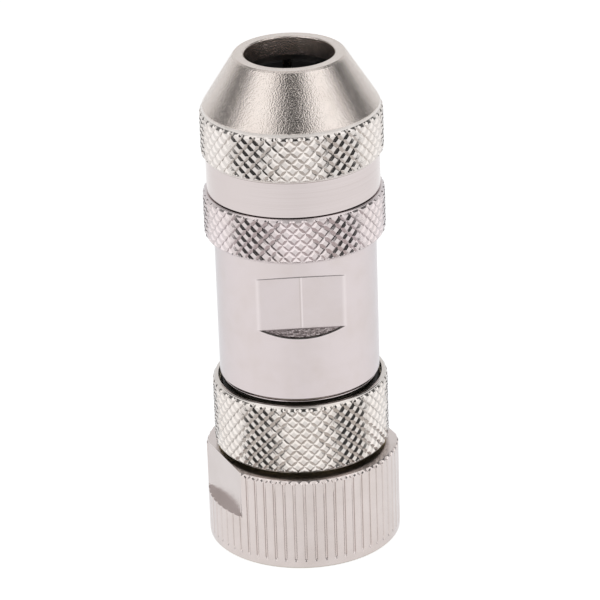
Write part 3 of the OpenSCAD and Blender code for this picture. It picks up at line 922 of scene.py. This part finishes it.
band_bottom, band_top = BODY_HIGH + 0.15, BAND_HIGH - 0.15
band_knurl = knurl_rows(BAND_POINT, BAND_RIM + 0.02, band_bottom, band_top)
zone_shares = (1.0, 0.85, 0.7, 0.6, 0.54, 0.5, 0.46, 0.4, 0.3, 0.15, 0.04, 0.0)
flat_rows = [(BODY_RADIUS, FLAT_LOW - FLAT_ZONE * share, MILLED) for share in zone_shares]
flat_rows += [(BODY_RADIUS, FLAT_LOW + (FLAT_HIGH - FLAT_LOW) * i / 6, MILLED) for i in range(1, 6)]
flat_rows += [(BODY_RADIUS, FLAT_HIGH + FLAT_ZONE * share, MILLED) for share in reversed(zone_shares)]
barrel_rows = outline([
    (BORE, 12.4), (7.0, 12.4), (7.35, 12.75), (7.35, 16.35), (7.4, 16.35), (7.4, 17.45), (7.5, 17.45),
    (7.5, 18.06), (8.02, 18.06), (8.02, 18.22), (7.5, 18.22), (7.5, BODY_LOW), (BODY_RADIUS - 0.15, BODY_LOW),
    (BODY_RADIUS, BODY_LOW + 0.15), (BODY_RADIUS, 21.0), (BODY_RADIUS, 23.5), flat_rows,
    (BODY_RADIUS, BODY_HIGH), (BAND_RIM - 0.06, BODY_HIGH),
    (BAND_RIM, BODY_HIGH + 0.06), (BAND_RIM, band_bottom - 0.02), band_knurl, (BAND_RIM, band_top + 0.02),
    (BAND_RIM, BAND_HIGH - 0.06), (BAND_RIM - 0.06, BAND_HIGH), (7.3, BAND_HIGH), (7.3, GLAND_TOP - 0.4),
    (6.9, GLAND_TOP), (BORE + 0.3, GLAND_TOP), (BORE, GLAND_TOP - 0.3)])
flat_angle = math.acos(BODY_FLAT / BODY_RADIUS)
edge_lines = [side + turn * (flat_angle + shift) for side in (math.pi / 2, -math.pi / 2) for turn in (1, -1)
              for shift in (-EDGE_SHIFT, 0.0, EDGE_SHIFT)]
barrel = turned_blank("turned_barrel", barrel_rows, ring_angles(BAND_POINTS * CELLS, edge_lines))
knurl(barrel, BAND_POINTS, BAND_POINT, band_bottom, band_top, 5, SATIN_NICKEL)
cut(barrel, MILLING, {
    "Radius": BODY_RADIUS * MM, "Flat distance": BODY_FLAT * MM, "Low end": FLAT_LOW * MM,
    "High end": FLAT_HIGH * MM, "Slope": FLAT_SLOPE, "Zone": FLAT_ZONE * MM, "Break": FLAT_BREAK * MM,
    "Finish": SATIN_NICKEL})
thread(barrel, 7.57, 0.65, start=40.1, turns=4.0, finish=SATIN_NICKEL)
thread(barrel, 7.4, 0.2, start=13.1, turns=2.8, finish=SATIN_NICKEL, foot_width=0.6)
finish_piece(barrel, "rear_housing", "rear_housing")

# %% [markdown]
# ## The clamping nut
# Its plain skirt covers the gland's thread, its knurled band is the grip, and its cone closes on the cable. The
# cone looks up at the light and is matt and speckled, so it reads lighter than the bright faces under it.

# %% Clamping nut
CLAMP_LOW = 38.6
SKIRT_RADIUS = 8.78
GRIP_LOW, GRIP_HIGH = 42.3, 47.2
GRIP_RIM = 8.96
CONE_LOW, CONE_TOP = 47.6, 52.85
CONE_BASE, CONE_TIP = 8.9, 5.6
CABLE = 4.54

grip_bottom = GRIP_LOW + 0.2
grip_knurl = knurl_rows(BAND_POINT, GRIP_RIM + 0.02, grip_bottom, GRIP_HIGH)
clamp_rows = outline([
    (8.11, CLAMP_LOW), (SKIRT_RADIUS - 0.06, CLAMP_LOW), (SKIRT_RADIUS, CLAMP_LOW + 0.06), (SKIRT_RADIUS, 40.5),
    (SKIRT_RADIUS, GRIP_LOW - 0.05), (GRIP_RIM, GRIP_LOW + 0.12), (GRIP_RIM, grip_bottom - 0.02), grip_knurl,
    (GRIP_RIM, GRIP_HIGH + 0.02), (GRIP_RIM, GRIP_HIGH + 0.1), (CONE_BASE, CONE_LOW),
    (8.0, 49.05), (7.0, 50.63), (CONE_TIP + 0.12, CONE_TOP - 0.19), (CONE_TIP - 0.07, CONE_TOP),
    (CABLE + 0.12, CONE_TOP), (CABLE, CONE_TOP - 0.12), (CABLE, 50.8), (5.3, 50.8), (5.3, 50.25), (6.3, 45.3),
    (7.96, 45.3), (7.96, CLAMP_LOW + 0.15)])
gland_nut = turned_blank("conical_clamping_nut", clamp_rows, ring_angles(BAND_POINTS * CELLS))
knurl(gland_nut, BAND_POINTS, BAND_POINT, grip_bottom, GRIP_HIGH, 7, GLAND_NICKEL)
finish_piece(gland_nut, "clamping_nut", "clamping_nut")

# %% [markdown]
# ## The parts inside
# Their solids already have the right shape, so they keep their meshes and get their own finishes: black and
# pale glass-filled nylon, rubber, gold plating, spring steel, blackened and zinc-plated steel, and plain brass.
# The clamping cage is pale nylon, but takes the black finish as painted shade seen through the cable's opening.

# %% Finishes of the inner parts
FIBRE_SHEEN, METAL_SPOTTING = 0.08, 0.1
CLEAN_RUBBER, DUSTY_RUBBER = 0.45, 0.7


def plastic(name, colour, speck, roughness):
    finish = Finish(name)
    flow = finish.mask(HANDLING, Size=1.2 * MM)
    fibres = finish.mask(GRAIN, Size=0.05 * MM)
    finish.set(Base_Color=finish.blend(flow * fibres, colour, speck),
               Roughness=finish.between(fibres, roughness - FIBRE_SHEEN, roughness + FIBRE_SHEEN))
    finish.bump((fibres, 3e-6), (flow, 4e-6))
    return finish.material


def metal(name, colour, second, roughness, lines, grain):
    finish = Finish(name, Metallic=1.0)
    touched = finish.mask(HANDLING, Size=1.5 * MM)
    turned = finish.mask(LATHE_LINES, Spacing=0.06 * MM)
    matt = finish.mask(GRAIN, Size=0.05 * MM)
    finish.set(Base_Color=finish.blend(touched, colour, second),
               Roughness=finish.between(matt, roughness, roughness + METAL_SPOTTING))
    finish.bump((turned, lines), (matt, grain))
    return finish.material


def rubber(name, colour, dusty):
    finish = Finish(name)
    dust = finish.mask(HANDLING, Size=0.8 * MM, Low=0.45, High=0.75)
    skin = finish.mask(GRAIN, Size=0.04 * MM)
    finish.set(Base_Color=finish.blend(dust, colour, dusty),
               Roughness=finish.between(dust, CLEAN_RUBBER, DUSTY_RUBBER))
    finish.bump((skin, 3e-6))
    return finish.material


# the black finish is also painted shade on the pale clamping cage
BLACK_NYLON_AND_SHADE = plastic("black nylon", (0.012, 0.012, 0.013, 1), (0.022, 0.022, 0.022, 1), 0.42)
PALE_NYLON = plastic("pale nylon", (0.62, 0.6, 0.52, 1), (0.7, 0.68, 0.6, 1), 0.45)
SEAL_RUBBER = rubber("seal rubber", (0.011, 0.011, 0.011, 1), (0.05, 0.048, 0.045, 1))
GOLD = metal("gold plating", (0.9, 0.62, 0.25, 1), (0.82, 0.53, 0.2, 1), 0.2, 1e-6, 1e-6)
SPRING_STEEL = metal("spring steel", (0.52, 0.52, 0.53, 1), (0.4, 0.38, 0.36, 1), 0.25, 1e-6, 2e-6)
DARK_STEEL = metal("blackened steel", (0.07, 0.068, 0.066, 1), (0.11, 0.1, 0.09, 1), 0.4, 1e-6, 2e-6)
SCREW_STEEL = metal("zinc-plated steel", (0.62, 0.63, 0.66, 1), (0.56, 0.55, 0.52, 1), 0.28, 1e-6, 2e-6)
BRASS = metal("plain brass", (0.72, 0.5, 0.2, 1), (0.55, 0.36, 0.15, 1), 0.25, 2e-6, 1e-6)

INNER_FINISHES = {
    "retaining_ring": SPRING_STEEL, "nose_seal": SEAL_RUBBER, "contact_carrier": BLACK_NYLON_AND_SHADE,
    "terminal_block": BLACK_NYLON_AND_SHADE, "terminal_screws": SCREW_STEEL, "housing_seal": SEAL_RUBBER,
    "spacer_sleeve": PALE_NYLON, "shield_ring": BRASS, "braid_ring": BRASS, "cable_seal": SEAL_RUBBER,
    # the clamping cage is pale nylon; its black finish is painted shade seen through the cable's opening
    "clamping_cage": BLACK_NYLON_AND_SHADE, "thrust_ring": DARK_STEEL,
}
INNER_FINISHES.update({f"socket_contact_{i}": GOLD for i in range(1, 5)})
for node, material in INNER_FINISHES.items():
    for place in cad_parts[node].material_slots:
        place.material = material
print("finished inner parts:", len(INNER_FINISHES))

# %% [markdown]
# ## The studio
# Polished metal shows the room more than its own colour, so the room is built for it: white all round, two
# brighter soft boxes at the front, and black and grey cards whose reflections draw the edges of the round
# faces. The cards are seen only in reflections, and their edges fade, so no card leaves a hard line.

# %% World and floor
WHITE, FLOOR_PAINT = (1, 1, 1, 1), (0.8, 0.8, 0.8, 1)
AMBIENT = 0.55
FLOOR_SIZE, FLOOR_DROP = 4.0, 0.02 * MM
FLOOR_GLOW, SIDE_GLOW, BACK_LOSS = 0.57, 0.10, 0.05


def white_backdrop(nodes, shown, hidden):
    """Uses one shader for camera, glossy and transmission rays and another for all the rest."""
    seen = 0.0
    for ray in "Camera", "Glossy", "Transmission":
        seen = nodes.calc("MAXIMUM", seen, nodes.out("ShaderNodeLightPath", output=f"Is {ray} Ray"))
    return nodes.out("ShaderNodeMixShader", {0: seen, 1: hidden, 2: shown})


def add_world():
    world = bpy.data.worlds.new("white studio")
    world.use_nodes = True
    world.node_tree.nodes.clear()
    nodes = Nodes(world.node_tree)
    bright = nodes.out("ShaderNodeBackground", {"Color": WHITE, "Strength": 1.0})
    soft = nodes.out("ShaderNodeBackground", {"Color": WHITE, "Strength": AMBIENT})
    nodes.node("ShaderNodeOutputWorld", {"Surface": white_backdrop(nodes, bright, soft)})
    bpy.context.scene.world = world


def add_floor():
    """A white floor that also glows: more beside the object than in front of it, and less behind it."""
    half = FLOOR_SIZE / 2
    mesh = bpy.data.meshes.new("floor")
    corners = [(-half, -half, 0), (half, -half, 0), (half, half, 0), (-half, half, 0)]
    mesh.from_pydata(corners, [], [(0, 1, 2, 3)])
    floor = add_object("floor", mesh)
    floor.location.z = cad_low.z - FLOOR_DROP
    paint = Finish("white floor", Base_Color=FLOOR_PAINT, Roughness=0.9, Specular_IOR_Level=0.0)
    x, y = paint.parts(paint.out("ShaderNodeTexCoord", output="Object"))[:2]
    away = paint.calc("MAXIMUM", paint.reach(x, y), MM)
    to_side, to_back = paint.calc("ABSOLUTE", x) / away, paint.calc("MAXIMUM", y / away, 0.0)
    level = FLOOR_GLOW + to_side * SIDE_GLOW - to_back * BACK_LOSS
    matt = Value(paint, paint.shader.outputs[0])
    both = paint.out("ShaderNodeAddShader", {0: matt, 1: paint.out("ShaderNodeEmission", {"Strength": level})})
    paint.feed(paint.tree.nodes["Material Output"].inputs["Surface"], white_backdrop(paint, both, matt))
    mesh.materials.append(paint.material)


add_world()
add_floor()
print("world and floor are in place")

# %% Soft boxes and cards
ROOM_RADIUS = 0.5
ROOM_CENTRE = Vector((0, 0, AIM_HEIGHT))
CARD_STEPS, CARD_FADE = 12, 0.12
HIDDEN_FROM = ("camera", "diffuse", "shadow", "transmission", "volume_scatter")
BOX_WIDTH, BOX_HEIGHT, BOX_LEVEL = 0.6, 0.45, 0.55
BOX_AZIMUTH, BOX_ELEVATION = 57, 32


def card_mesh(name, azimuths, elevations):
    """A curved card round the object, in degrees, with UVs from 0 to 1 for its soft edges."""
    columns = CARD_STEPS + 1
    uvs = [(i / CARD_STEPS, j / CARD_STEPS) for i in range(columns) for j in range(columns)]
    vertices = []
    for across, up in uvs:
        azimuth = azimuths[0] + (azimuths[1] - azimuths[0]) * across
        elevation = elevations[0] + (elevations[1] - elevations[0]) * up
        vertices.append(ROOM_CENTRE + direction(azimuth, elevation) * ROOM_RADIUS)
    corners = [a for a in range(CARD_STEPS * columns) if (a + 1) % columns]
    mesh = bpy.data.meshes.new(name)
    mesh.from_pydata(vertices, [], [(a, a + 1, a + columns + 1, a + columns) for a in corners])
    layer = mesh.uv_layers.new(name="card")
    for place, loop in zip(layer.data, mesh.loops):
        place.uv = uvs[loop.vertex_index]
    return mesh


def add_card(name, azimuths, elevations, level):
    """A card with fading edges that is seen only in reflections; level is its brightness."""
    mesh = card_mesh(name, azimuths, elevations)
    material = bpy.data.materials.new(name)
    material.use_nodes = True
    material.node_tree.nodes.clear()
    nodes = Nodes(material.node_tree)
    cover = 1.0
    for part in nodes.parts(nodes.out("ShaderNodeTexCoord", output="UV"))[:2]:
        edge = {"Value": nodes.calc("MINIMUM", part, 1.0 - part), "From Max": CARD_FADE}
        cover = nodes.out("ShaderNodeMapRange", edge, interpolation_type="SMOOTHSTEP") * cover
    clear = nodes.out("ShaderNodeBsdfTransparent")
    glow = nodes.out("ShaderNodeEmission", {"Strength": level})
    mix = nodes.out("ShaderNodeMixShader", {0: cover, 1: clear, 2: glow})
    nodes.node("ShaderNodeOutputMaterial", {"Surface": mix})
    mesh.materials.append(material)
    card = add_object(name, mesh)
    for rays in HIDDEN_FROM:
        setattr(card, "visible_" + rays, False)


def add_soft_box(name, azimuth):
    """An area lamp that looks at the object; BOX_LEVEL is the brightness of its face, where 1 is white."""
    lamp = bpy.data.lights.new(name, "AREA")
    lamp.shape = "RECTANGLE"
    lamp.size, lamp.size_y = BOX_WIDTH, BOX_HEIGHT
    lamp.energy = math.pi * BOX_WIDTH * BOX_HEIGHT * BOX_LEVEL
    box = add_object(name, lamp)
    towards = direction(azimuth, BOX_ELEVATION)
    box.matrix_world = (Matrix.Translation(ROOM_CENTRE + towards * ROOM_RADIUS)
                        @ towards.to_track_quat("Z", "Y").to_matrix().to_4x4())
    box.visible_camera = False


add_soft_box("left soft box", -BOX_AZIMUTH)
add_soft_box("right soft box", BOX_AZIMUTH)
add_card("front card", (-28, 28), (5, 68), 0.05)
add_card("left card", (-125, -82), (-5, 60), 0.22)
add_card("right card", (80, 125), (-5, 60), 0.15)

# %% [markdown]
# ## The view transform
# The picture is shown as it is computed, with no tone curve.

# %% View transform
bpy.context.scene.view_settings.view_transform = "Standard"
